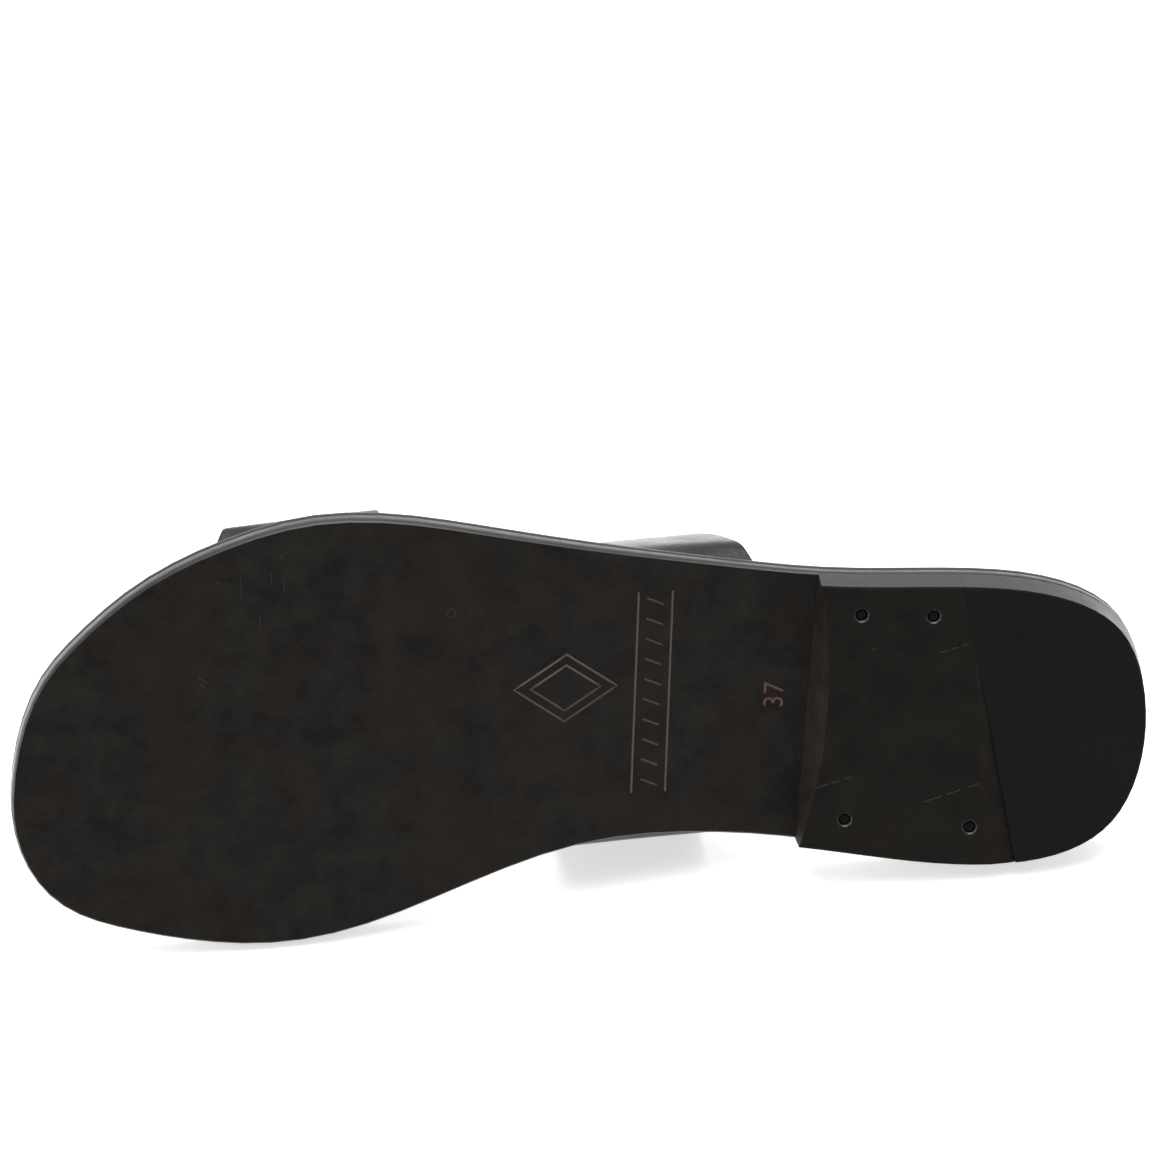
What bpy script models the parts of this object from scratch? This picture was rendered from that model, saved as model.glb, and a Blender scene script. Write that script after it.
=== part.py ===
"""A roman sandal for the left foot: two leather bands on a flat leather sole with a low heel.

Each piece is drawn in the shoe's own frame, standing upright: X runs from the toe (0) to the
back of the heel, -Y is the outer side of the foot, +Y the inner side, and Z is the height
above the ground.  At the end an empty lays the whole shoe down on its inner side, as it rests
on a floor, with the toe towards -X.  Everything is in metres.
"""

import math

import bmesh
import bpy
import numpy
from mathutils import Matrix, Vector

# The sole
SOLE_LENGTH = 0.250
BALL_WIDTH = 0.0976
WAIST_WIDTH = 0.0624
HEEL_WIDTH = 0.0656
TOE_SWING = 0.018
TOE_SPRING = 0.0025
OUTSOLE_THICKNESS = 0.0040
SEAT_THICKNESS = 0.0030
INSOLE_THICKNESS = 0.0020
EDGE_ROUNDING = 0.0006

# The heel: a leather block with a rubber back
HEEL_HEIGHT = 0.0072
HEEL_LENGTH = 0.075
HEEL_TAPER = 0.0005
BREAST_SKEW = 0.0026
BREAST_HOLLOW = 0.0037
RUBBER_LENGTH = 0.035
RUBBER_SKEW = math.radians(12.4)

# The nails in the heel's leather
NAIL_RADIUS = 0.0011
NAIL_LENGTH = 0.0046
NAIL_SINK = 0.0005

# The bands
BAND_WALL = 0.0022
BAND_INSET = 0.0024
ROOT_RISE = 0.0065
FRONT_BAND_WIDTH = 0.089
FRONT_BAND_HEIGHT = 0.034
INSTEP_BAND_WIDTH = 0.072
INSTEP_BAND_HEIGHT = 0.049

# Clearance between pieces that touch
GAP = 0.0003

OUTER = -1
INNER = 1

# The sole's outline: the place along its length, the width that the row follows, and the
# outline's distance on each side of the line from toe tip to heel end, as shares of that width
OUTLINE = (
    # along, width, outer, inner
    (0.020, BALL_WIDTH, 0.256, 0.184),
    (0.055, BALL_WIDTH, 0.376, 0.272),
    (0.110, BALL_WIDTH, 0.495, 0.326),
    (0.180, BALL_WIDTH, 0.579, 0.367),
    (0.250, BALL_WIDTH, 0.622, 0.378),
    (0.330, BALL_WIDTH, 0.614, 0.338),
    (0.410, BALL_WIDTH, 0.570, 0.263),
    (0.500, WAIST_WIDTH, 0.797, 0.317),
    (0.600, WAIST_WIDTH, 0.700, 0.319),
    (0.700, WAIST_WIDTH, 0.623, 0.379),
    (0.800, HEEL_WIDTH, 0.560, 0.438),
    (0.880, HEEL_WIDTH, 0.527, 0.467),
    (0.940, HEEL_WIDTH, 0.453, 0.428),
    (0.980, HEEL_WIDTH, 0.318, 0.306),
)

# Where the sole leaves the ground, as shares of its length
TOE_SPRING_END = 0.14
WAIST_RISE_START = 0.38
WAIST_RISE_END = 0.68

# Rounded edges: height as a share of the piece's thickness, and how far the edge is drawn in,
# as a share of EDGE_ROUNDING
OUTSOLE_EDGE = (
    # height, drawn in
    (0.00, 0.80),
    (0.12, 0.15),
    (0.35, 0.00),
    (0.85, 0.00),
    (1.00, 0.50),
)
INSOLE_EDGE = (
    (0.00, 0.50),
    (0.20, 0.10),
    (0.60, 0.10),
    (0.85, 0.60),
    (1.00, 1.60),
)

# Nail places: from the heel end as a share of the heel's length, the side, and from the
# sole's edge as a share of the heel's width
NAILS = (
    # along, side, from edge
    (0.861, OUTER, 0.107),
    (0.649, OUTER, 0.112),
    (0.885, INNER, 0.128),
    (0.515, INNER, 0.144),
)

# A band's arch over the foot: height as a share of the band's height, and the distance from
# the shoe's middle on each side as shares of the band's width over the foot
FRONT_ARCH = (
    # height, outer, inner
    (0.00, 0.482, 0.530),
    (0.12, 0.500, 0.520),
    (0.30, 0.488, 0.488),
    (0.50, 0.441, 0.440),
    (0.70, 0.368, 0.370),
    (0.88, 0.244, 0.246),
    (1.00, 0.000, 0.000),
)
INSTEP_ARCH = (
    (0.00, 0.521, 0.417),
    (0.12, 0.510, 0.450),
    (0.25, 0.496, 0.470),
    (0.45, 0.458, 0.457),
    (0.65, 0.398, 0.394),
    (0.85, 0.268, 0.264),
    (1.00, 0.000, 0.000),
)

# A band's run from its outer root over the foot to its inner root: how far round it is, the
# middle of the band as a share of the sole's length, and its width as a share of that length
FRONT_RUN = (
    # round, middle, width
    (0.00, 0.2422, 0.1535),
    (0.08, 0.2494, 0.137),
    (0.20, 0.2520, 0.128),
    (0.50, 0.2580, 0.120),
    (0.80, 0.2440, 0.127),
    (0.92, 0.2390, 0.133),
    (1.00, 0.2340, 0.146),
)
INSTEP_RUN = (
    (0.00, 0.588, 0.144),
    (0.07, 0.569, 0.135),
    (0.14, 0.557, 0.131),
    (0.30, 0.543, 0.125),
    (0.50, 0.534, 0.120),
    (0.80, 0.546, 0.128),
    (0.93, 0.556, 0.134),
    (1.00, 0.557, 0.140),
)

# How much wider the front band's outer side gets, and how much narrower the instep band's
# inner side gets, over the whole sole's length
FRONT_WIDENING = 0.60
INSTEP_NARROWING = 0.38

# How much higher a band's back edge arches than its front edge, as a share of its height
FRONT_BAND_SLOPE = 0.22
INSTEP_BAND_SLOPE = 0.20

# How finely the shapes are divided
SOLE_STATIONS = 50
BREAST_STATIONS = 12
BAND_STEPS_ROUND = 44
BAND_STEPS_WIDE = 6
NAIL_SIDES = 16

# Weights for finding how the shoe rests, in kg per cubic metre
DENSITIES = {"leather": 950.0, "rubber": 1150.0, "metal": 7800.0}


def smooth_curve(places, values):
    """Returns the natural cubic spline through the values at the given places."""
    places = numpy.array(places, dtype=float)
    values = numpy.array(values, dtype=float)
    steps = numpy.diff(places)
    slopes = numpy.diff(values) / steps
    count = len(places)
    matrix = numpy.eye(count)
    right_side = numpy.zeros(count)
    for k in range(1, count - 1):
        matrix[k, k - 1] = steps[k - 1]
        matrix[k, k] = 2 * (steps[k - 1] + steps[k])
        matrix[k, k + 1] = steps[k]
        right_side[k] = 6 * (slopes[k] - slopes[k - 1])
    bends = numpy.linalg.solve(matrix, right_side)

    def value_at(place):
        k = int(numpy.clip(numpy.searchsorted(places, place) - 1, 0, count - 2))
        step = steps[k]
        ahead = places[k + 1] - place
        behind = place - places[k]
        start = values[k] / step - bends[k] * step / 6
        end = values[k + 1] / step - bends[k + 1] * step / 6
        cubic = (bends[k] * ahead**3 + bends[k + 1] * behind**3) / (6 * step)
        return float(cubic + start * ahead + end * behind)

    return value_at


def turn_of(x):
    """The angle that stands for a place along the sole: 0 at the toe tip, pi at the heel end."""
    return math.acos(max(-1.0, min(1.0, 1 - 2 * x / SOLE_LENGTH)))


def x_of(turn):
    """The place along the sole that an angle stands for."""
    return SOLE_LENGTH * (1 - math.cos(turn)) / 2


def outline_curve(column):
    """The outline's distance from the line between toe tip and heel end, by angle."""
    turns = [turn_of(row[0] * SOLE_LENGTH) for row in OUTLINE]
    distances = [row[1] * row[column] for row in OUTLINE]
    return smooth_curve([0.0, *turns, math.pi], [0.0, *distances, 0.0])


OUTLINE_CURVES = {OUTER: outline_curve(2), INNER: outline_curve(3)}


def middle_line(x):
    """The straight line from the toe tip to the heel end, seen from above."""
    return TOE_SWING * (1 - x / SOLE_LENGTH)


def outline_point(turn, side):
    """The outline's point on one side at an angle."""
    x = x_of(turn)
    return Vector((x, middle_line(x) + side * OUTLINE_CURVES[side](turn)))


def edge_point(turn, side, inset=0.0):
    """The outline's point, moved in from the sole's edge by the inset."""
    small = 0.0005
    before = outline_point(max(turn - small, 0.0), side)
    after = outline_point(min(turn + small, math.pi), side)
    tangent = (after - before).normalized()
    inward = Vector((-tangent.y, tangent.x)) * -side
    return outline_point(turn, side) + inward * inset


def half_width(x, side, inset=0.0):
    """The outline's distance from the shoe's middle, at a place along the sole."""
    return abs(outline_point(turn_of(x), side).y) - inset


def smooth_step(share):
    """Rises softly from 0 to 1."""
    share = max(0.0, min(1.0, share))
    return share * share * (3 - 2 * share)


def underside(x):
    """The height of the outsole's underside above the ground."""
    along = x / SOLE_LENGTH
    spring = max(0.0, 1 - along / TOE_SPRING_END)
    rise = smooth_step((along - WAIST_RISE_START) / (WAIST_RISE_END - WAIST_RISE_START))
    return TOE_SPRING * spring**2 + HEEL_HEIGHT * rise


def outsole_thickness(x):
    """The outsole thins from the forefoot to the heel seat."""
    along = x / SOLE_LENGTH
    rise = smooth_step((along - WAIST_RISE_START) / (WAIST_RISE_END - WAIST_RISE_START))
    return OUTSOLE_THICKNESS + (SEAT_THICKNESS - OUTSOLE_THICKNESS) * rise


def insole_thickness(x):
    """The insole is the same all over."""
    return INSOLE_THICKNESS


def outsole_top(x):
    """The height of the outsole's upper face."""
    return underside(x) + outsole_thickness(x)


def insole_bottom(x):
    """The height of the insole's lower face."""
    return outsole_top(x) + GAP


def make_object(name, form, collection, material=None):
    """Turns a bmesh into a named object with faces pointing out."""
    bmesh.ops.recalc_face_normals(form, faces=form.faces)
    mesh = bpy.data.meshes.new(name)
    form.to_mesh(mesh)
    form.free()
    mesh.shade_smooth()
    mesh.set_sharp_from_angle(angle=math.radians(35))
    solid = bpy.data.objects.new(name, mesh)
    collection.objects.link(solid)
    if material is not None:
        mesh.materials.append(material)
    return solid


def make_cutter(name, form, collection):
    """Turns a bmesh into a cutter that only shows as wires."""
    cutter = make_object(name, form, collection)
    cutter.hide_render = True
    cutter.display_type = "WIRE"
    return cutter


def cut_with(solid, cutter):
    """Takes the cutter's form out of a solid."""
    cut = solid.modifiers.new("Cut " + cutter.name, "BOOLEAN")
    cut.operation = "DIFFERENCE"
    cut.solver = "EXACT"
    cut.object = cutter


def join_loops(form, loops):
    """Joins closed loops of points, one above the other, with a skin of quads."""
    rings = [[form.verts.new(point) for point in loop] for loop in loops]
    for lower, upper in zip(rings, rings[1:]):
        for k in range(len(lower)):
            after = (k + 1) % len(lower)
            form.faces.new((lower[k], lower[after], upper[after], upper[k]))
    return rings


def sole_loop(inset):
    """One closed loop round the sole: down the outer side and back up the inner side."""
    turns = [math.pi * k / SOLE_STATIONS for k in range(SOLE_STATIONS + 1)]
    outer = [edge_point(turn, OUTER, inset) for turn in turns]
    inner = [edge_point(turn, INNER, inset) for turn in reversed(turns[1:-1])]
    return outer + inner


def close_sole(form, ring):
    """Closes a sole loop with strips straight across the shoe."""
    count = len(ring)
    form.faces.new((ring[0], ring[1], ring[count - 1]))
    for k in range(1, SOLE_STATIONS - 1):
        form.faces.new((ring[k], ring[k + 1], ring[count - k - 1], ring[count - k]))
    form.faces.new((ring[SOLE_STATIONS - 1], ring[SOLE_STATIONS], ring[SOLE_STATIONS + 1]))


def make_sole_layer(name, bottom_at, thickness_at, edge, collection, material):
    """A layer of the sole with a rounded edge."""
    form = bmesh.new()
    loops = []
    for share, drawn_in in edge:
        loop = sole_loop(drawn_in * EDGE_ROUNDING)
        loops.append([(x, y, bottom_at(x) + share * thickness_at(x)) for x, y in loop])
    rings = join_loops(form, loops)
    close_sole(form, rings[0])
    close_sole(form, rings[-1])
    return make_object(name, form, collection, material)


def heel_loop(height, inset, hollow):
    """One level of the heel: round the back from corner to corner, then along the breast."""
    middle = SOLE_LENGTH - HEEL_LENGTH
    outer_start = turn_of(middle + BREAST_SKEW / 2)
    inner_start = turn_of(middle - BREAST_SKEW / 2)
    steps = SOLE_STATIONS // 2
    loop = []
    for k in range(steps + 1):
        turn = outer_start + (math.pi - outer_start) * k / steps
        loop.append(edge_point(turn, OUTER, inset))
    for k in range(1, steps + 1):
        turn = math.pi + (inner_start - math.pi) * k / steps
        loop.append(edge_point(turn, INNER, inset))
    outer_corner = loop[0]
    inner_corner = loop[-1]
    for k in range(1, BREAST_STATIONS):
        share = k / BREAST_STATIONS
        point = inner_corner.lerp(outer_corner, share)
        bulge = hollow * 4 * share * (1 - share)
        loop.append(point + Vector((bulge, 0)))
    return [(point.x, point.y, height) for point in loop]


def make_heel_block(name, collection, material):
    """The whole heel, with its hollow breast sloping back towards the ground."""
    form = bmesh.new()
    top = HEEL_HEIGHT - GAP
    levels = (
        (0.0, HEEL_TAPER + EDGE_ROUNDING / 2),
        (EDGE_ROUNDING / 2, HEEL_TAPER),
        (top, 0.0),
    )
    loops = [heel_loop(z, inset, BREAST_HOLLOW * (1 - z / top)) for z, inset in levels]
    rings = join_loops(form, loops)
    form.faces.new(rings[0])
    form.faces.new(rings[-1])
    return make_object(name, form, collection, material)


def heel_splitter(name, keeps_back, collection):
    """A box that takes away all of the heel on one side of the line where the rubber starts."""
    size = 2 * SOLE_LENGTH
    form = bmesh.new()
    bmesh.ops.create_cube(form, size=size)
    shift = size / 2 - GAP / 2
    if keeps_back:
        shift = -shift
    line = Matrix.Translation((SOLE_LENGTH - RUBBER_LENGTH, 0.0, 0.0))
    line = line @ Matrix.Rotation(-RUBBER_SKEW, 4, "Z")
    bmesh.ops.transform(form, matrix=line @ Matrix.Translation((shift, 0.0, 0.0)), verts=form.verts)
    return make_cutter(name, form, collection)


def nail_place(row):
    """Where a nail's axis meets the ground."""
    along, side, from_edge = row
    x = SOLE_LENGTH - along * HEEL_LENGTH
    y = side * half_width(x, side, from_edge * HEEL_WIDTH)
    return x, y


def make_rod(radius, bottom, top, place):
    """An upright round bar."""
    form = bmesh.new()
    bmesh.ops.create_cone(
        form,
        cap_ends=True,
        segments=NAIL_SIDES,
        radius1=radius,
        radius2=radius,
        depth=top - bottom,
        matrix=Matrix.Translation((*place, (top + bottom) / 2)),
    )
    return form


def band_point(band, wide, round_share, depth=0.0):
    """A point of a band: wide runs from its front edge to its back edge, and round_share from
    its outer root over the foot to its inner root.  Depth is measured in from its outer face."""
    if depth:
        small = 0.002
        ahead = band_point(band, wide, min(round_share + small, 1.0))
        behind = band_point(band, wide, max(round_share - small, 0.0))
        back = band_point(band, min(wide + small, 1.0), round_share)
        front = band_point(band, max(wide - small, 0.0), round_share)
        inward = (ahead - behind).cross(back - front).normalized()
        if round_share in (0.0, 1.0):
            inward = Vector((0.0, 1.0 if round_share == 0.0 else -1.0, 0.0))
        return band_point(band, wide, round_share) + inward * depth
    middle = band["middle"](round_share) * SOLE_LENGTH
    width = band["width"](round_share) * SOLE_LENGTH
    x = middle + (wide - 0.5) * width
    side = OUTER if round_share < 0.5 else INNER
    climb = math.sin(math.pi * round_share)
    arch = band["height"] * (1 + band["slope"] * (wide - 0.5))
    narrowing = band["narrowing"][side] * (x - middle) / SOLE_LENGTH
    reach = band[side](math.asin(min(climb, 1.0))) * band["across"] * (1 - narrowing)
    root = half_width(x, side, BAND_INSET)
    above = arch * climb - INSOLE_THICKNESS
    y = side * (root + (reach - root) * smooth_step(above / ROOT_RISE))
    z = insole_bottom(x) + arch * climb
    return Vector((x, y, z))


def describe_band(across, height, slope, narrowing, arch_rows, run_rows):
    """Smooth curves for a band's arch and run, with its sizes."""
    climbs = [math.asin(row[0]) for row in arch_rows]
    rounds = [row[0] for row in run_rows]
    return {
        "across": across,
        "height": height,
        "slope": slope,
        "narrowing": dict(zip((OUTER, INNER), narrowing)),
        OUTER: smooth_curve(climbs, [row[1] for row in arch_rows]),
        INNER: smooth_curve(climbs, [row[2] for row in arch_rows]),
        "middle": smooth_curve(rounds, [row[1] for row in run_rows]),
        "width": smooth_curve(rounds, [row[2] for row in run_rows]),
    }


def make_band(name, band, collection, material):
    """A band as a closed shell: outer face, inner face and the cut edges between them."""
    form = bmesh.new()
    faces = []
    for depth in (0.0, BAND_WALL):
        grid = []
        for j in range(BAND_STEPS_ROUND + 1):
            row = []
            for k in range(BAND_STEPS_WIDE + 1):
                point = band_point(band, k / BAND_STEPS_WIDE, j / BAND_STEPS_ROUND, depth)
                row.append(form.verts.new(point))
            grid.append(row)
        faces.append(grid)
    outer, inner = faces
    for grid in faces:
        for j in range(BAND_STEPS_ROUND):
            for k in range(BAND_STEPS_WIDE):
                corners = (grid[j][k], grid[j][k + 1], grid[j + 1][k + 1], grid[j + 1][k])
                form.faces.new(corners)
    for j in range(BAND_STEPS_ROUND):
        for k in (0, BAND_STEPS_WIDE):
            form.faces.new((outer[j][k], outer[j + 1][k], inner[j + 1][k], inner[j][k]))
    for k in range(BAND_STEPS_WIDE):
        for j in (0, BAND_STEPS_ROUND):
            form.faces.new((outer[j][k], outer[j][k + 1], inner[j][k + 1], inner[j][k]))
    return make_object(name, form, collection, material)


def band_slot(name, band, side, collection):
    """The slot in the insole that a band's root comes up through, leaning as the band does."""
    root = 0.0 if side == OUTER else 1.0
    level = abs(root - 1 / BAND_STEPS_ROUND)
    outer_rows = ([], [])
    inner_rows = ([], [])
    for k in range(BAND_STEPS_WIDE + 1):
        wide = k / BAND_STEPS_WIDE
        for depth, rows in ((0.0, outer_rows), (BAND_WALL, inner_rows)):
            low = band_point(band, wide, root, depth)
            high = band_point(band, wide, level, depth)
            climb = (high - low) * (INSOLE_THICKNESS + GAP) / (high.z - low.z)
            rows[0].append(low - climb)
            rows[1].append(low + 2 * climb)
    form = bmesh.new()
    loops = []
    for outer_row, inner_row in zip(outer_rows, inner_rows):
        outer_line = [Vector((p.x, p.y + side * GAP, p.z)) for p in outer_row]
        inner_line = [Vector((p.x, p.y - side * GAP, p.z)) for p in inner_row]
        front = min(outer_line[0].x, inner_line[0].x) - GAP
        back = max(outer_line[-1].x, inner_line[-1].x) + GAP
        for line in (outer_line, inner_line):
            line[0] = line[0].lerp(line[1], (front - line[0].x) / (line[1].x - line[0].x))
            line[-1] = line[-1].lerp(line[-2], (back - line[-1].x) / (line[-2].x - line[-1].x))
        loops.append([tuple(p) for p in (*inner_line, *reversed(outer_line))])
    rings = join_loops(form, loops)
    form.faces.new(rings[0])
    form.faces.new(rings[-1])
    return make_cutter(name, form, collection)


def make_material(name, colour, roughness, metallic=0.0):
    """A plain material in one colour."""
    material = bpy.data.materials.new(name)
    material.use_nodes = True
    shader = material.node_tree.nodes["Principled BSDF"]
    shader.inputs["Base Color"].default_value = (*colour, 1.0)
    shader.inputs["Roughness"].default_value = roughness
    shader.inputs["Metallic"].default_value = metallic
    material.diffuse_color = (*colour, 1.0)
    return material


def solid_points_and_weight(solid, density):
    """The finished solid's points, its weight and its centre of mass times that weight."""
    finished = solid.evaluated_get(bpy.context.evaluated_depsgraph_get())
    mesh = finished.to_mesh()
    mesh.calc_loop_triangles()
    points = [vertex.co.copy() for vertex in mesh.vertices]
    volume = 0.0
    moment = Vector((0.0, 0.0, 0.0))
    for triangle in mesh.loop_triangles:
        a, b, c = (points[index] for index in triangle.vertices)
        wedge = a.dot(b.cross(c)) / 6
        volume += wedge
        moment += (a + b + c) * (wedge / 4)
    finished.to_mesh_clear()
    return points, volume * density, moment * density


def lies_inside(point, corners, normal):
    """Whether a point seen along the normal lies inside a triangle."""
    for k in range(3):
        start = corners[k]
        end = corners[(k + 1) % 3]
        if (end - start).cross(point - start).dot(normal) < 0:
            return False
    return True


def resting_pose(solids):
    """The place and turn of the shoe as it rests on its inner side.

    Of the triangles between its outermost points that face the inner side and have the
    centre of mass over them, the shoe lies on the one where its centre of mass is lowest.
    The sole's length runs along +X, and the middle of its bounding box is over the origin."""
    points = []
    weight = 0.0
    moment = Vector((0.0, 0.0, 0.0))
    for solid, density in solids:
        found, solid_weight, solid_moment = solid_points_and_weight(solid, density)
        points.extend(found)
        weight += solid_weight
        moment += solid_moment
    centre = moment / weight
    hull = bmesh.new()
    for point in points:
        hull.verts.new(point)
    bmesh.ops.convex_hull(hull, input=hull.verts)
    bmesh.ops.triangulate(hull, faces=hull.faces)
    bmesh.ops.recalc_face_normals(hull, faces=hull.faces)
    down = None
    lowest = SOLE_LENGTH
    for face in hull.faces:
        corners = [vertex.co for vertex in face.verts]
        normal = face.normal
        height = normal.dot(corners[0] - centre)
        faces_inner_side = normal.y > math.cos(math.radians(45))
        if faces_inner_side and height < lowest and lies_inside(centre, corners, normal):
            down = normal.copy()
            lowest = height
    hull.free()
    up = -down
    length = Vector((1.0, 0.0, 0.0))
    length = (length - up * length.dot(up)).normalized()
    across = up.cross(length)
    turn = Matrix((length, across, up))
    turned = [turn @ point for point in points]
    lows = [min(point[axis] for point in turned) for axis in range(3)]
    highs = [max(point[axis] for point in turned) for axis in range(3)]
    place = Vector((-(lows[0] + highs[0]) / 2, -(lows[1] + highs[1]) / 2, -lows[2]))
    return Matrix.Translation(place) @ turn.to_4x4()


def build():
    """Makes the sandal."""
    for old in list(bpy.data.objects):
        bpy.data.objects.remove(old, do_unlink=True)
    parts = bpy.data.collections.new("roman_sandal")
    cutters = bpy.data.collections.new("cutters")
    bpy.context.scene.collection.children.link(parts)
    bpy.context.scene.collection.children.link(cutters)

    sole_leather = make_material("sole_leather", (0.022, 0.018, 0.016), 0.42)
    insole_leather = make_material("insole_leather", (0.045, 0.035, 0.030), 0.50)
    heel_leather = make_material("heel_leather", (0.026, 0.020, 0.017), 0.42)
    heel_rubber = make_material("heel_rubber", (0.018, 0.018, 0.019), 0.55)
    band_leather = make_material("band_leather", (0.012, 0.011, 0.011), 0.28)
    nail_metal = make_material("nail_metal", (0.10, 0.09, 0.08), 0.45, 1.0)

    outsole = make_sole_layer(
        "outsole", underside, outsole_thickness, OUTSOLE_EDGE, parts, sole_leather
    )
    insole = make_sole_layer(
        "insole", insole_bottom, insole_thickness, INSOLE_EDGE, parts, insole_leather
    )

    front = describe_band(
        FRONT_BAND_WIDTH,
        FRONT_BAND_HEIGHT,
        FRONT_BAND_SLOPE,
        (-FRONT_WIDENING, 0.0),
        FRONT_ARCH,
        FRONT_RUN,
    )
    instep = describe_band(
        INSTEP_BAND_WIDTH,
        INSTEP_BAND_HEIGHT,
        INSTEP_BAND_SLOPE,
        (0.0, INSTEP_NARROWING),
        INSTEP_ARCH,
        INSTEP_RUN,
    )
    front_band = make_band("front_band", front, parts, band_leather)
    instep_band = make_band("instep_band", instep, parts, band_leather)
    for band_name, band in (("front", front), ("instep", instep)):
        for side_name, side in (("outer", OUTER), ("inner", INNER)):
            slot = band_slot(f"slot_{band_name}_{side_name}", band, side, cutters)
            cut_with(insole, slot)

    heel_front = make_heel_block("heel_leather", parts, heel_leather)
    heel_back = make_heel_block("heel_rubber", parts, heel_rubber)
    cut_with(heel_front, heel_splitter("split_behind_leather", False, cutters))
    cut_with(heel_back, heel_splitter("split_before_rubber", True, cutters))

    nails = []
    for k, row in enumerate(NAILS, start=1):
        place = nail_place(row)
        top = NAIL_SINK + NAIL_LENGTH
        hole = make_rod(NAIL_RADIUS + GAP, -HEEL_HEIGHT, top + GAP, place)
        cut_with(heel_front, make_cutter(f"nail_hole_{k}", hole, cutters))
        nail = make_object(
            f"heel_nail_{k}", make_rod(NAIL_RADIUS, NAIL_SINK, top, place), parts, nail_metal
        )
        nails.append(nail)

    bpy.context.view_layer.update()
    leather = [outsole, insole, front_band, instep_band, heel_front]
    solids = [(solid, DENSITIES["leather"]) for solid in leather]
    solids.append((heel_back, DENSITIES["rubber"]))
    solids.extend((nail, DENSITIES["metal"]) for nail in nails)

    resting = bpy.data.objects.new("resting_pose", None)
    parts.objects.link(resting)
    resting.matrix_world = resting_pose(solids)
    for solid, _ in solids:
        solid.parent = resting
    for cutter in cutters.objects:
        cutter.parent = resting
    bpy.context.view_layer.update()


build()
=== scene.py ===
# %% [markdown]
# # A roman sandal lying on its side
#
# The sandal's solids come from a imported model. This script dresses them: smooth leather with
# grain, tooled lines, nails and scratches, on a pale floor under soft light. Each
# step says what the piece is on the real sandal before it makes it.

# %% Load the packed sandal
import math

import bpy
import numpy
from mathutils import Matrix, Vector
from mathutils.bvhtree import BVHTree


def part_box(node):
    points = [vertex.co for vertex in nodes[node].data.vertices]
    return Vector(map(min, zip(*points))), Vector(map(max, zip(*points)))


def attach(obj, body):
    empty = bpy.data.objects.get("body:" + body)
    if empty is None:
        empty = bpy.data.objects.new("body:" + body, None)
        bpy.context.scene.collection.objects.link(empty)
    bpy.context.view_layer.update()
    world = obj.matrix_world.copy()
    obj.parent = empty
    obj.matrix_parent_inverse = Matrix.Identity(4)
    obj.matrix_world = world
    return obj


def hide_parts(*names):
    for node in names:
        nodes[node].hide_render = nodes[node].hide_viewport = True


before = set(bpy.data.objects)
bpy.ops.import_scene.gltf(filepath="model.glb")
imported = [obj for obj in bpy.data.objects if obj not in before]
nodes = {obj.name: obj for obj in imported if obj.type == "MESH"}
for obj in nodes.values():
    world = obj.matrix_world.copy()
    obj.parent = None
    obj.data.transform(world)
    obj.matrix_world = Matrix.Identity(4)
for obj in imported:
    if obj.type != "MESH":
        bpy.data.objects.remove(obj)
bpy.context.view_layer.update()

# %% [markdown]
# ## The shoe's own directions
#
# The sandal lies on its inner side, so nothing on it is level. Every place on it is easier to
# give the way a shoemaker does: so far back from the toe, so far to the inner side, so high
# above the ground. The four heel nails are round bars with known places, so their middles give
# the turn between the shoemaker's directions and the floor's.

# %% Find the turn from the nails
NAIL_MIDDLES = {
    # millimetres from the toe, to the inner side, above the ground
    "heel_nail_1": (185.425, -26.072, 2.8),
    "heel_nail_2": (201.325, -25.796, 2.8),
    "heel_nail_3": (183.625, 21.797, 2.8),
    "heel_nail_4": (211.375, 23.610, 2.8),
}
drawn = numpy.array(list(NAIL_MIDDLES.values())) / 1000
found = numpy.array([sum(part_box(name), Vector()) / 2 for name in NAIL_MIDDLES])
drawn_middle = drawn.mean(axis=0)
found_middle = found.mean(axis=0)
left, _, right = numpy.linalg.svd((found - found_middle).T @ (drawn - drawn_middle))
flip = numpy.diag([1, 1, numpy.linalg.det(left) * numpy.linalg.det(right)])
turn = left @ flip @ right
SHOE = Matrix.Translation(Vector(found_middle)) @ Matrix(turn).to_4x4()
SHOE = SHOE @ Matrix.Translation(-Vector(drawn_middle))
TO_SHOE = SHOE.inverted()
BACK, INNER, UP = (SHOE.to_3x3().col[k].copy() for k in range(3))
misfit = max((SHOE @ Vector(a) - Vector(b)).length for a, b in zip(drawn, found))
print("nails fit within", round(misfit * 1000, 3), "mm")


def on_shoe(back, inner, up):
    """A place in the room, from millimetres along the shoe's own directions."""
    return SHOE @ Vector((back / 1000, inner / 1000, up / 1000))


# %% [markdown]
# ## The camera
#
# The picture looks at the sole from 20 degrees towards the outer side and 6 degrees towards
# the toe, from far away, so nothing looks nearer than the rest. One millimetre on the sole is
# 4.556 pixels of the 1160. A long lens at four metres gives that.

# %% Place the camera
SIDE_TILT = math.radians(20)
TOE_TILT = math.radians(6)
PIXELS = 1160
PIXELS_PER_MM = 4.556
TOE_PIXEL = (16.9, 727.0)
DISTANCE = 4.0

straight = -math.cos(SIDE_TILT) * UP - math.sin(SIDE_TILT) * INNER
to_camera = math.cos(TOE_TILT) * straight - math.sin(TOE_TILT) * BACK
image_right = math.cos(TOE_TILT) * BACK + math.sin(TOE_TILT) * straight
image_up = -math.cos(SIDE_TILT) * INNER + math.sin(SIDE_TILT) * UP
toe_tip = on_shoe(0, 0, 0)
across = (PIXELS / 2 - TOE_PIXEL[0]) / PIXELS_PER_MM / 1000
upward = (TOE_PIXEL[1] - PIXELS / 2) / PIXELS_PER_MM / 1000
target = toe_tip + across * image_right + upward * image_up - 0.0177 * to_camera

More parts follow.
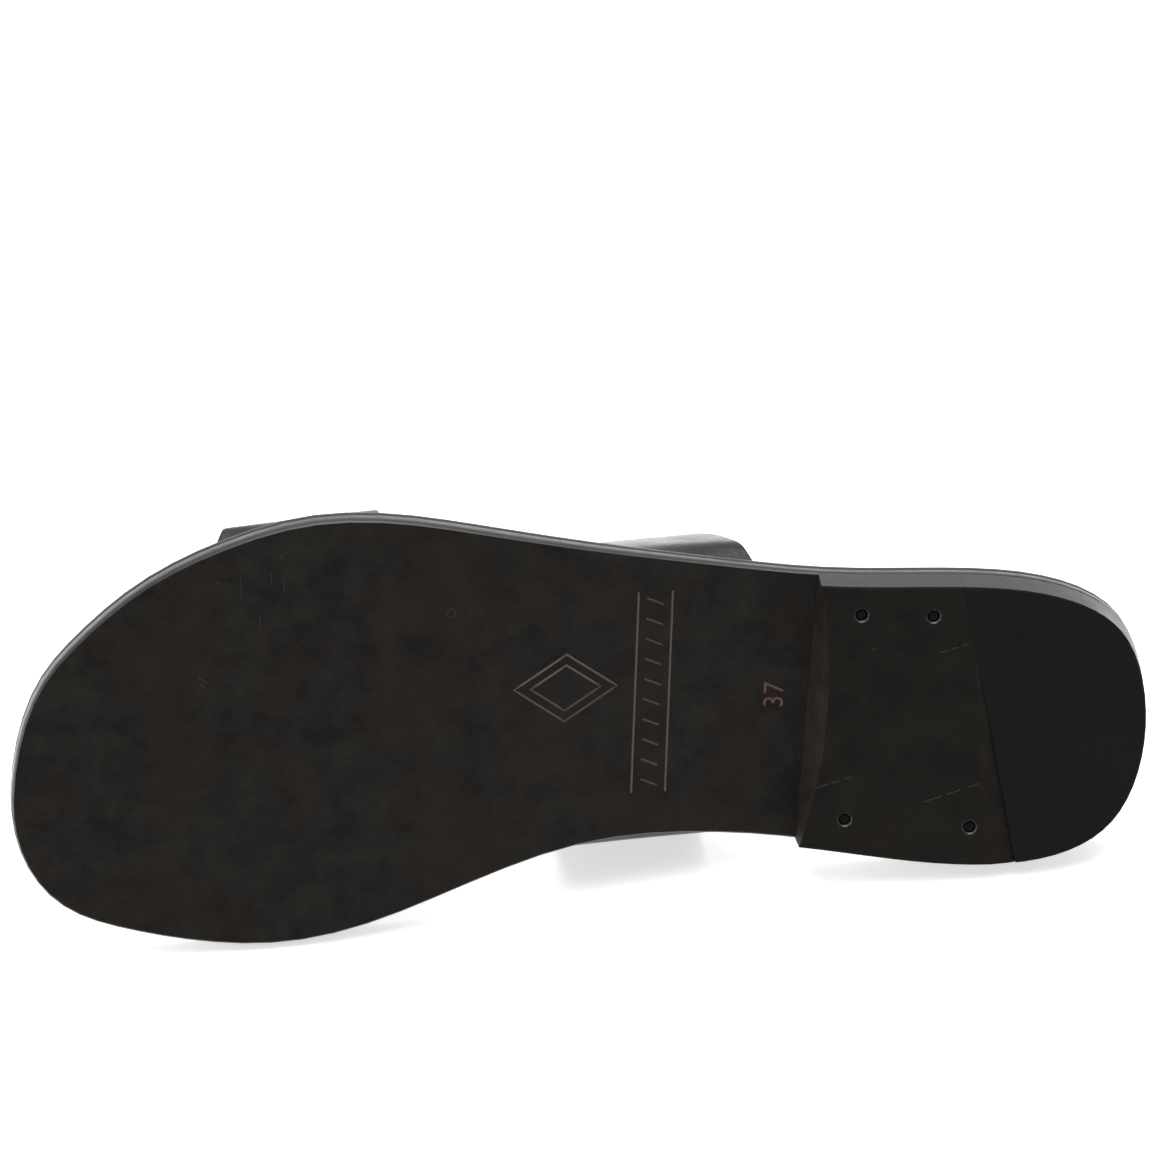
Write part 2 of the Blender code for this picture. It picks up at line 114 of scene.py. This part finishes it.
bpy.ops.object.camera_add()
camera = bpy.context.object
camera.name = "camera"
camera.data.sensor_width = 36
camera.data.lens = 36 * DISTANCE / (PIXELS / PIXELS_PER_MM / 1000)
camera.data.clip_end = 20
axes = Matrix((image_right, image_up, to_camera)).transposed()
camera.matrix_world = Matrix.Translation(target + DISTANCE * to_camera) @ axes.to_4x4()
bpy.context.scene.camera = camera
print("the camera looks down by", round(math.degrees(math.asin(to_camera.z)), 1), "degrees")

# %% [markdown]
# ## Small helpers
#
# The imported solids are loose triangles. A piece that needs a finer form starts from a copy
# whose corners are merged and whose triangles are joined back into four-sided faces.

# %% Helpers that copy, activate and hand in a piece


def activate(piece):
    """Selects one piece alone and makes it the active one."""
    if bpy.context.object and bpy.context.object.mode != "OBJECT":
        bpy.ops.object.mode_set(mode="OBJECT")
    bpy.ops.object.select_all(action="DESELECT")
    piece.select_set(True)
    bpy.context.view_layer.objects.active = piece


def merged_copy(node, name, bend=25):
    """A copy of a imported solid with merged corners, whose triangles are joined in pairs where
    they bend by less than the given degrees."""
    piece = bpy.data.objects.new(name, nodes[node].data.copy())
    bpy.context.scene.collection.objects.link(piece)
    piece.data.materials.clear()
    activate(piece)
    if piece.data.has_custom_normals:
        bpy.ops.mesh.customdata_custom_splitnormals_clear()
    bpy.ops.object.mode_set(mode="EDIT")
    bpy.ops.mesh.select_all(action="SELECT")
    bpy.ops.mesh.remove_doubles(threshold=0.00002)
    bpy.ops.mesh.tris_convert_to_quads(
        face_threshold=math.radians(bend), shape_threshold=math.radians(60 + bend)
    )
    bpy.ops.mesh.select_all(action="DESELECT")
    bpy.ops.object.mode_set(mode="OBJECT")
    return piece


def add_modifier(piece, kind, **settings):
    """Adds a modifier, sets it and applies it."""
    activate(piece)
    modifier = piece.modifiers.new(kind.lower(), kind)
    for setting, value in settings.items():
        setattr(modifier, setting, value)
    bpy.ops.object.modifier_apply(modifier=modifier.name)


def hand_in(piece, smooth_below=35, replaces=()):
    """Shades a finished piece and ties it to the sandal."""
    activate(piece)
    bpy.ops.object.shade_smooth_by_angle(angle=math.radians(smooth_below))
    if replaces:
        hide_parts(*replaces)
    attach(piece, "root")
    print(piece.name, len(piece.data.polygons), "faces")


def shift_faces(piece, chosen, shift):
    """Moves the faces for which chosen(normal, middle) is true, in the shoe's own directions."""
    activate(piece)
    turn_back = TO_SHOE.to_3x3()
    for polygon in piece.data.polygons:
        polygon.select = chosen(turn_back @ polygon.normal, (TO_SHOE @ polygon.center) * 1000)
    bpy.ops.object.mode_set(mode="EDIT")
    bpy.ops.mesh.select_mode(type="FACE")
    bpy.ops.transform.translate(value=shift)
    bpy.ops.mesh.select_all(action="DESELECT")
    bpy.ops.object.mode_set(mode="OBJECT")


def surface_of(piece):
    """Gives a function that finds how high above the ground a piece's underside is."""
    tree = BVHTree.FromPolygons(
        [vertex.co for vertex in piece.data.vertices],
        [polygon.vertices for polygon in piece.data.polygons],
    )

    def height(back, inner):
        start = on_shoe(back, inner, -30)
        hit = tree.ray_cast(start, UP)[0]
        return (TO_SHOE @ hit).z * 1000

    return height


# %% [markdown]
# ## Materials
#
# Every leather here is nearly black, and what tells one from another is how it shines. The
# tread is waxed sole leather: dull brown-black, mottled, with a fine grain. The cut edges are
# painted. The bands are smooth and glossy. One helper builds them all from two colours that
# mix in patches, a roughness that wanders, and a grain that lifts the surface.

# %% A helper for leather and rubber


def make_finish(name, dark, light, patch, rough, grain_size, grain_depth, shine=0.5, blush=None):
    """A surface of two mixed colours with a wandering roughness and a raised grain.

    patch is the size of the colour's patches and grain_size that of the grain, in metres, and
    blush is a third colour that comes through in wide soft clouds."""
    material = bpy.data.materials.new(name)
    material.use_nodes = True
    tree = material.node_tree
    add = tree.nodes.new
    link = tree.links.new
    shader = tree.nodes["Principled BSDF"]
    place = add("ShaderNodeTexCoord")

    patches = add("ShaderNodeTexNoise")
    patches.inputs["Scale"].default_value = 1 / patch
    patches.inputs["Detail"].default_value = 7
    patches.inputs["Roughness"].default_value = 0.66
    link(place.outputs["Object"], patches.inputs["Vector"])
    colours = add("ShaderNodeValToRGB")
    colours.color_ramp.elements[0].position = 0.36
    colours.color_ramp.elements[0].color = (*dark, 1)
    colours.color_ramp.elements[1].position = 0.66
    colours.color_ramp.elements[1].color = (*light, 1)
    link(patches.outputs["Fac"], colours.inputs["Fac"])
    colour = colours.outputs["Color"]

    if blush:
        clouds = add("ShaderNodeTexNoise")
        clouds.inputs["Scale"].default_value = 0.35 / patch
        clouds.inputs["Detail"].default_value = 3
        link(place.outputs["Object"], clouds.inputs["Vector"])
        strength = add("ShaderNodeMapRange")
        strength.inputs["From Min"].default_value = 0.48
        strength.inputs["From Max"].default_value = 0.72
        strength.inputs["To Max"].default_value = 0.7
        link(clouds.outputs["Fac"], strength.inputs["Value"])
        mix = add("ShaderNodeMix")
        mix.data_type = "RGBA"
        mix.inputs[7].default_value = (*blush, 1)
        link(strength.outputs["Result"], mix.inputs[0])
        link(colour, mix.inputs[6])
        colour = mix.outputs[2]
    link(colour, shader.inputs["Base Color"])

    wander = add("ShaderNodeMapRange")
    wander.inputs["From Min"].default_value = 0.35
    wander.inputs["From Max"].default_value = 0.65
    wander.inputs["To Min"].default_value = rough[0]
    wander.inputs["To Max"].default_value = rough[1]
    link(patches.outputs["Fac"], wander.inputs["Value"])
    link(wander.outputs["Result"], shader.inputs["Roughness"])

    pores = add("ShaderNodeTexVoronoi")
    pores.inputs["Scale"].default_value = 1 / grain_size
    link(place.outputs["Object"], pores.inputs["Vector"])
    fine = add("ShaderNodeTexNoise")
    fine.inputs["Scale"].default_value = 2 / grain_size
    fine.inputs["Detail"].default_value = 4
    link(place.outputs["Object"], fine.inputs["Vector"])
    both = add("ShaderNodeMath")
    both.operation = "ADD"
    link(pores.outputs["Distance"], both.inputs[0])
    link(fine.outputs["Fac"], both.inputs[1])
    bump = add("ShaderNodeBump")
    bump.inputs["Strength"].default_value = 1.0
    bump.inputs["Distance"].default_value = grain_depth
    link(both.outputs["Value"], bump.inputs["Height"])
    link(bump.outputs["Normal"], shader.inputs["Normal"])
    shader.inputs["Specular IOR Level"].default_value = shine
    return material


def make_plain(name, colour, roughness, shine=0.5):
    """A small part's finish: one colour with a light unevenness in its gloss."""
    rough = (roughness, roughness + 0.1)
    return make_finish(name, colour, colour, 0.004, rough, 0.0006, 0.00001, shine)


# %% Tread, heel and rubber: waxed and dull, so they hardly mirror the bright room
DULL = 0.07
tread_leather = make_finish(
    name="tread_leather",
    dark=(0.0072, 0.0062, 0.0052),
    light=(0.0150, 0.0132, 0.0112),
    patch=0.007,
    rough=(0.44, 0.62),
    grain_size=0.0011,
    grain_depth=0.00006,
    shine=DULL,
    blush=(0.0150, 0.0100, 0.0080),
)
heel_leather = make_finish(
    name="heel_leather",
    dark=(0.0054, 0.0047, 0.0038),
    light=(0.0100, 0.0088, 0.0068),
    patch=0.008,
    rough=(0.44, 0.58),
    grain_size=0.0010,
    grain_depth=0.00004,
    shine=DULL,
    blush=(0.0098, 0.0074, 0.0054),
)
# The breast is given a lighter, redder leather than the rest of the heel: partly the leather's own
# tone, partly a painted highlight of the light falling on the face turned to the toe.
breast_leather_with_highlight = make_finish(
    name="breast_leather_with_highlight",
    dark=(0.0092, 0.0074, 0.0060),
    light=(0.0205, 0.0145, 0.0120),
    patch=0.010,
    rough=(0.46, 0.60),
    grain_size=0.0008,
    grain_depth=0.00006,
    shine=0.25,
)
skived_leather = make_finish(
    name="skived_leather",
    dark=(0.0075, 0.0062, 0.0050),
    light=(0.0125, 0.0102, 0.0080),
    patch=0.005,
    rough=(0.55, 0.70),
    grain_size=0.0005,
    grain_depth=0.00006,
    shine=DULL,
)
heel_rubber = make_finish(
    name="heel_rubber",
    dark=(0.0048, 0.0046, 0.0043),
    light=(0.0066, 0.0063, 0.0058),
    patch=0.010,
    rough=(0.48, 0.58),
    grain_size=0.0005,
    grain_depth=0.00002,
    shine=DULL,
)

# %% Edges, footbed and bands: painted or polished, so they take the light
edge_paint = make_finish(
    name="edge_paint",
    dark=(0.012, 0.0115, 0.011),
    light=(0.022, 0.021, 0.020),
    patch=0.006,
    rough=(0.32, 0.46),
    grain_size=0.0007,
    grain_depth=0.00003,
)
footbed_leather = make_finish(
    name="footbed_leather",
    dark=(0.018, 0.014, 0.0115),
    light=(0.030, 0.024, 0.020),
    patch=0.018,
    rough=(0.42, 0.55),
    grain_size=0.0010,
    grain_depth=0.00006,
    blush=(0.024, 0.016, 0.012),
)
band_leather = make_finish(
    name="band_leather",
    dark=(0.0065, 0.0060, 0.0060),
    light=(0.0100, 0.0090, 0.0090),
    patch=0.012,
    rough=(0.26, 0.38),
    grain_size=0.0009,
    grain_depth=0.00004,
)
lining_leather = make_finish(
    name="lining_leather",
    dark=(0.022, 0.0175, 0.0145),
    light=(0.034, 0.027, 0.022),
    patch=0.014,
    rough=(0.50, 0.62),
    grain_size=0.0008,
    grain_depth=0.00005,
)

# %% Small finishes
nail_steel = make_plain("nail_steel", (0.0040, 0.0036, 0.0032), 0.55, shine=DULL)
# The tooled lines are coloured far lighter than the tread: partly the pressed leather's own tone,
# partly a painted highlight along the grooves.
stamped_line_with_highlight = make_plain("stamped_line_with_highlight", (0.070, 0.050, 0.040), 0.36)
red_stamp = make_plain("red_stamp", (0.085, 0.038, 0.024), 0.42)
scratched_leather = make_plain("scratched_leather", (0.055, 0.048, 0.036), 0.60)
faint_scratch = make_plain("faint_scratch", (0.020, 0.018, 0.015), 0.50)
# The nail holes' rims and walls are coloured lighter and glossier than the heel leather: partly rubbed
# leather, partly a painted highlight that draws a lit crescent round each nail.
hole_rim_highlight = make_plain("hole_rim_highlight", (0.016, 0.014, 0.011), 0.28)
print(len(bpy.data.materials), "materials")

# %% [markdown]
# ## Tooled lines and scratches
#
# A line pressed into sole leather is a shallow round-bottomed groove. A thin tube that follows
# the surface, half in and half out, is cut away from the sole, and the groove keeps the
# tube's own material. The same cut makes a scratch.

# %% A helper that lays a tube along the underside


def lay_tube(points, radius, height, material, closed=False, step=2.0):
    """A thin tube along straight runs between places on the underside, in millimetres."""
    runs = list(zip(points, points[1:] + points[:1] if closed else points[1:]))
    places = []
    for (back, inner), (next_back, next_inner) in runs:
        count = max(1, round(math.hypot(next_back - back, next_inner - inner) / step))
        for k in range(count):
            share = k / count
            places.append((back + (next_back - back) * share, inner + (next_inner - inner) * share))
    if not closed:
        places.append(points[-1])
    line = bpy.data.curves.new("tooling", "CURVE")
    line.dimensions = "3D"
    line.bevel_depth = radius / 1000
    line.bevel_resolution = 1
    line.use_fill_caps = True
    spline = line.splines.new("POLY")
    spline.points.add(len(places) - 1)
    for point, (back, inner) in zip(spline.points, places):
        point.co = (*on_shoe(back, inner, height(back, inner) - radius * 0.35), 1)
    spline.use_cyclic_u = closed
    tube = bpy.data.objects.new("tooling", line)
    bpy.context.scene.collection.objects.link(tube)
    activate(tube)
    bpy.ops.object.convert(target="MESH")
    tube = bpy.context.object
    bpy.ops.object.mode_set(mode="EDIT")
    bpy.ops.mesh.select_all(action="SELECT")
    bpy.ops.mesh.remove_doubles(threshold=0.000005)
    bpy.ops.mesh.normals_make_consistent(inside=False)
    bpy.ops.object.mode_set(mode="OBJECT")
    tube.data.materials.clear()
    tube.data.materials.append(material)
    return tube


def press_in(piece, tools):
    """Cuts the tools out of a piece and removes them."""
    activate(tools[0])
    for tool in tools:
        tool.select_set(True)
    if len(tools) > 1:
        bpy.ops.object.join()
    tool = bpy.context.object
    add_modifier(
        piece,
        "BOOLEAN",
        operation="DIFFERENCE",
        solver="EXACT",
        object=tool,
        material_mode="TRANSFER",
    )
    bpy.data.objects.remove(tool)


def paint_faces(piece, material, chosen):
    """Gives a material to the faces for which chosen(normal, middle) is true, both in the
    shoe's own directions, the middle in millimetres."""
    if material.name not in piece.data.materials:
        piece.data.materials.append(material)
    number = piece.data.materials.find(material.name)
    turn_back = TO_SHOE.to_3x3()
    painted = 0
    for polygon in piece.data.polygons:
        if chosen(turn_back @ polygon.normal, (TO_SHOE @ polygon.center) * 1000):
            polygon.material_index = number
            painted += 1
    print(piece.name, painted, "faces of", material.name)


# %% [markdown]
# ## The outsole
#
# One piece of thick sole leather runs from the toe to the heel seat. Its tread is waxed, and
# its cut edge is painted and burnished. In the waist a maker presses lines with a hot tool.
# Here a plain lozenge and a row of short bars stand between two rules, with the shoe's size
# as a plain number next to the heel.

# %% Outsole with its painted edge
outsole = merged_copy("outsole", "outsole_leather")
outsole.data.materials.append(tread_leather)
paint_faces(outsole, edge_paint, lambda normal, middle: abs(normal.z) < 0.75)
underside = surface_of(outsole)
SEAM = 0.00026

# %% Press the lozenge, the rules and the bars
LOZENGE = (121.0, -8.4)
LOZENGE_HALF = (11.5, 7.8)
RULES_AT = (136.6, 144.2)
RULES_FROM, RULES_TO = -30.0, 17.0
BAR_PITCH = 4.7
# The grooves keep the light line colour, which holds a painted highlight.
tools = []
for share in (1.0, 0.68):
    corners = [
        (LOZENGE[0] - LOZENGE_HALF[0] * share, LOZENGE[1]),
        (LOZENGE[0], LOZENGE[1] - LOZENGE_HALF[1] * share),
        (LOZENGE[0] + LOZENGE_HALF[0] * share, LOZENGE[1]),
        (LOZENGE[0], LOZENGE[1] + LOZENGE_HALF[1] * share),
    ]
    tools.append(lay_tube(corners, 0.30, underside, stamped_line_with_highlight, closed=True))
for at in RULES_AT:
    rule = [(at, RULES_FROM), (at, RULES_TO)]
    tools.append(lay_tube(rule, 0.26, underside, stamped_line_with_highlight, step=8))
middle_at = sum(RULES_AT) / 2
place = RULES_FROM + BAR_PITCH / 2
while place < RULES_TO:
    bar = [(middle_at - 1.9, place - 0.8), (middle_at + 1.9, place + 0.8)]
    tools.append(lay_tube(bar, 0.26, underside, stamped_line_with_highlight))
    place += BAR_PITCH
press_in(outsole, tools)

# %% Scuff the tread
SCUFFS = (
    # from back, inner, to back, inner
    (39.8, -11.6, 42.0, -10.4),
    (40.2, -10.2, 41.6, -9.2),
    (43.5, -33.8, 43.8, -33.4),
    (50.2, -32.4, 50.5, -32.2),
    (57.4, -40.0, 57.5, -39.2),
)
FAINT_SCRATCHES = (
    (48.5, -35.5, 48.9, -30.0),
    (55.2, -36.0, 55.5, -33.0),
    (58.0, -35.0, 58.2, -31.5),
    (53.0, -26.0, 53.2, -22.5),
)
RING_MIDDLE = (95.0, -26.6)
RING_RADIUS = 1.0
ring = []
for k in range(10):
    turned = math.radians(36 * k)
    ring.append(
        (
            RING_MIDDLE[0] + RING_RADIUS * math.cos(turned),
            RING_MIDDLE[1] + RING_RADIUS * math.sin(turned),
        )
    )
tools = []
for rows, radius, finish in ((SCUFFS, 0.06, scratched_leather), (FAINT_SCRATCHES, 0.05, faint_scratch)):
    for row in rows:
        tools.append(lay_tube([row[:2], row[2:]], radius, underside, finish, step=30))
tools.append(lay_tube(ring, 0.09, underside, faint_scratch, closed=True))
press_in(outsole, tools)

# %% Press the size number
NUMBER_PLACE = (167.8, -4.9)
NUMBER_HEIGHT = 4.6
bpy.ops.object.text_add()
number = bpy.context.object
number.data.body = "37"
number.data.size = NUMBER_HEIGHT * 1.38 / 1000
number.data.align_x = "CENTER"
number.data.align_y = "CENTER"
number.data.extrude = 0.00016
number.data.resolution_u = 3
bpy.ops.object.convert(target="MESH")
number = bpy.context.object
number_place = on_shoe(*NUMBER_PLACE, underside(*NUMBER_PLACE))
number_axes = Matrix((-INNER, -BACK, -UP)).transposed().to_4x4()
number.matrix_world = Matrix.Translation(number_place) @ number_axes
bpy.ops.object.transform_apply(location=True, rotation=True, scale=True)
bpy.ops.object.mode_set(mode="EDIT")
bpy.ops.mesh.select_all(action="SELECT")
bpy.ops.mesh.remove_doubles(threshold=0.000002)
bpy.ops.mesh.normals_make_consistent(inside=False)
bpy.ops.object.mode_set(mode="OBJECT")
number.data.materials.clear()
number.data.materials.append(red_stamp)
press_in(outsole, [number])
hand_in(outsole, 40, ["outsole"])

# %% [markdown]
# ## The insole
#
# The insole board is covered with thin dark leather that wraps over its edge. The foot rests
# on its upper face, so that face is a little lighter and softer than the painted edge.

# %% Insole with its edge
insole = merged_copy("insole", "insole_cover")
insole.data.materials.append(footbed_leather)
paint_faces(insole, edge_paint, lambda normal, middle: normal.z < 0.6)
shift_faces(insole, lambda normal, middle: normal.z < -0.9, -SEAM * UP)
hand_in(insole, 40, ["insole"])

# %% [markdown]
# ## The heel
#
# The heel is a block of stacked leather with a hollow front, its breast, and a rubber back
# that wears better where the foot lands. The leather is pared away in a thin wedge where it
# meets the rubber, and the pared face is raw and light. Three scratches cross the leather.
# Glue closes the seams, so the faces that meet are moved together.

# %% Heel leather with its pared wedge and scratches
heel_front = merged_copy("heel_leather", "heel_leather_block")
heel_front.data.materials.append(heel_leather)
shift_faces(heel_front, lambda normal, middle: normal.z > 0.9, SEAM * UP)
WEDGE_START = (211.7, -7.8)
WEDGE_END = (219.0, 31.0)
WEDGE_WIDTH = 4.0
WEDGE_DEPTH = 0.6
apex = on_shoe(*WEDGE_START, 0)
face_end = on_shoe(WEDGE_END[0] - WEDGE_WIDTH, WEDGE_END[1], 0)
wall_end = on_shoe(*WEDGE_END, WEDGE_DEPTH)
cut_normal = (face_end - apex).cross(wall_end - apex).normalized()
if cut_normal.dot(BACK) < 0:
    cut_normal = -cut_normal
activate(heel_front)
bpy.ops.object.mode_set(mode="EDIT")
bpy.ops.mesh.select_all(action="SELECT")
bpy.ops.mesh.bisect(plane_co=apex, plane_no=cut_normal, use_fill=True, clear_outer=True)
bpy.ops.object.mode_set(mode="OBJECT")
paint_faces(heel_front, edge_paint, lambda normal, middle: abs(normal.z) < 0.6)
# The toe-facing breast takes the lighter leather that carries the painted highlight.
paint_faces(
    heel_front, breast_leather_with_highlight, lambda normal, middle: normal.x < -0.5 and middle.x < 185
)
skived = TO_SHOE.to_3x3() @ cut_normal
paint_faces(heel_front, skived_leather, lambda normal, middle: normal.dot(skived) > 0.995)
ground_face = surface_of(heel_front)
SCRATCHES = (
    # from back, inner, to back, inner
    (203.0, -17.3, 209.3, -19.4),
    (177.0, 14.3, 184.8, 11.7),
    (200.8, 17.7, 213.2, 13.3),
    (188.0, -18.0, 189.2, -18.3),
)
DASHES = ((0.0, 0.34), (0.42, 0.66), (0.80, 1.0))
tools = []
for back, inner, next_back, next_inner in SCRATCHES:
    for shares in DASHES:
        ends = [
            (back + (next_back - back) * share, inner + (next_inner - inner) * share)
            for share in shares
        ]
        tools.append(lay_tube(ends, 0.08, ground_face, scratched_leather, step=30))
press_in(heel_front, tools)

# %% Open the rims of the nail holes
# The countersunk rims cut here take the lighter rim colour, a painted highlight.
HOLE_RADIUS = 1.4
RIM_WIDTH = 0.30
RIM_DEPTH = 0.30
tools = []
for back, inner, _ in NAIL_MIDDLES.values():
    bpy.ops.mesh.primitive_cone_add(
        vertices=32,
        radius1=(HOLE_RADIUS + 2 * RIM_WIDTH) / 1000,
        radius2=HOLE_RADIUS / 1000,
        depth=2 * RIM_DEPTH / 1000,
    )
    rim = bpy.context.object
    rim_axes = Matrix((BACK, INNER, UP)).transposed().to_4x4()
    rim.matrix_world = Matrix.Translation(on_shoe(back, inner, 0)) @ rim_axes
    bpy.ops.object.transform_apply(location=True, rotation=True, scale=True)
    rim.data.materials.append(hole_rim_highlight)
    tools.append(rim)
press_in(heel_front, tools)
print("rims opened round", len(NAIL_MIDDLES), "nails")


def inside_hole(normal, middle):
    """True for the wall of a nail hole."""
    return abs(normal.z) < 0.3 and any(
        math.hypot(middle.x - back, middle.y - inner) < HOLE_RADIUS + 0.1
        for back, inner, _ in NAIL_MIDDLES.values()
    )


# The hole walls get the same lighter colour, a painted highlight.
paint_faces(heel_front, hole_rim_highlight, inside_hole)
hand_in(heel_front, 35, ["heel_leather"])

# %% Heel rubber
heel_back = merged_copy("heel_rubber", "heel_rubber_block")
heel_back.data.materials.append(heel_rubber)
shift_faces(heel_back, lambda normal, middle: normal.z > 0.9, SEAM * UP)
shift_faces(heel_back, lambda normal, middle: normal.x < -0.9, -SEAM * BACK)
paint_faces(
    heel_back, edge_paint, lambda normal, middle: abs(normal.z) < 0.6 and normal.x > -0.9
)
hand_in(heel_back, 35, ["heel_rubber"])

# %% [markdown]
# ## The nails
#
# The nails' heads sit just below the leather. A nail's head is domed, dark and dull, so each
# packed bar gets a rounded head.

# %% Nails with rounded heads
for name in NAIL_MIDDLES:
    nail = merged_copy(name, name + "_head")
    nail.data.materials.append(nail_steel)
    add_modifier(
        nail, "BEVEL", width=0.00045, segments=3, limit_method="ANGLE", angle_limit=math.radians(60)
    )
    hand_in(nail, 50, [name])

# %% [markdown]
# ## The bands
#
# Each band is a glossy outer leather and a softer lining, glued back to back and folded at the
# edges, with no stitches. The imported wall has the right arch, and a bevel and a subdivision
# round its edges and smooth its facets.

# %% A helper that finishes a band
FOOT_MIDDLE = {"front_band": (0.0, 12.0), "instep_band": (0.0, 16.0)}


def dress_band(node):
    """Makes a band's smooth wall with outer leather, lining and painted edges."""
    band = merged_copy(node, node + "_leather", bend=60)
    print(node, sum(len(face.vertices) == 3 for face in band.data.polygons), "triangles left")
    middle_inner, middle_up = FOOT_MIDDLE[node]

    def outward(middle):
        return Vector((0, middle.y - middle_inner, middle.z - middle_up)).normalized()

    add_modifier(
        band, "BEVEL", width=0.0004, segments=2, limit_method="ANGLE", angle_limit=math.radians(55)
    )
    add_modifier(band, "SUBSURF", levels=2, render_levels=2)
    band.data.materials.append(band_leather)
    paint_faces(band, edge_paint, lambda normal, middle: abs(normal.x) > 0.6)
    paint_faces(
        band,
        lining_leather,
        lambda normal, middle: abs(normal.x) <= 0.6 and normal.dot(outward(middle)) < 0,
    )
    hand_in(band, 60, [node])
    return band


# %% Both bands
front_band = dress_band("front_band")
instep_band = dress_band("instep_band")

# %% [markdown]
# ## Floor and light
#
# The picture is bright all round, with a strong soft light above and behind the sandal: the
# cut edges that face up are grey, and the tread that faces the camera stays nearly black.

# %% Floor
bpy.ops.mesh.primitive_plane_add(size=6, location=(0, 0, -0.0002))
floor = bpy.context.object
floor.name = "floor"
floor_paint = bpy.data.materials.new("floor_paint")
floor_paint.use_nodes = True
floor_shader = floor_paint.node_tree.nodes["Principled BSDF"]
floor_shader.inputs["Base Color"].default_value = (0.92, 0.92, 0.92, 1)
floor_shader.inputs["Roughness"].default_value = 0.9
floor_shader.inputs["Specular IOR Level"].default_value = 0.1
floor_shader.inputs["Emission Color"].default_value = (1, 1, 1, 1)
floor_shader.inputs["Emission Strength"].default_value = 0.62
floor.data.materials.append(floor_paint)


# %% Lights


def add_light(name, place, aim, size, watts):
    """A square soft light that faces a place."""
    bpy.ops.object.light_add(type="AREA", location=place)
    light = bpy.context.object
    light.name = name
    light.data.size = size
    light.data.energy = watts
    light.rotation_euler = (Vector(aim) - Vector(place)).to_track_quat("-Z", "Y").to_euler()
    return light


add_light("light_above", (0.1, 0.1, 1.5), (0, 0, 0), 1.4, 28)
add_light("light_left", (-1.3, -0.3, 0.9), (0, 0, 0.03), 0.7, 4)

# %% A bright room, darker on the camera's side
world = bpy.data.worlds.new("studio")
bpy.context.scene.world = world
world.use_nodes = True
add = world.node_tree.nodes.new
link = world.node_tree.links.new
background = world.node_tree.nodes["Background"]
background.inputs["Color"].default_value = (1, 1, 1, 1)
direction = add("ShaderNodeTexCoord")
parts = add("ShaderNodeSeparateXYZ")
link(direction.outputs["Generated"], parts.inputs["Vector"])
strength = add("ShaderNodeMapRange")
strength.inputs["From Min"].default_value = -0.9
strength.inputs["From Max"].default_value = 0.4
strength.inputs["To Min"].default_value = 0.06
strength.inputs["To Max"].default_value = 0.85
link(parts.outputs["Y"], strength.inputs["Value"])
link(strength.outputs["Result"], background.inputs["Strength"])
bpy.context.scene.view_settings.view_transform = "Standard"
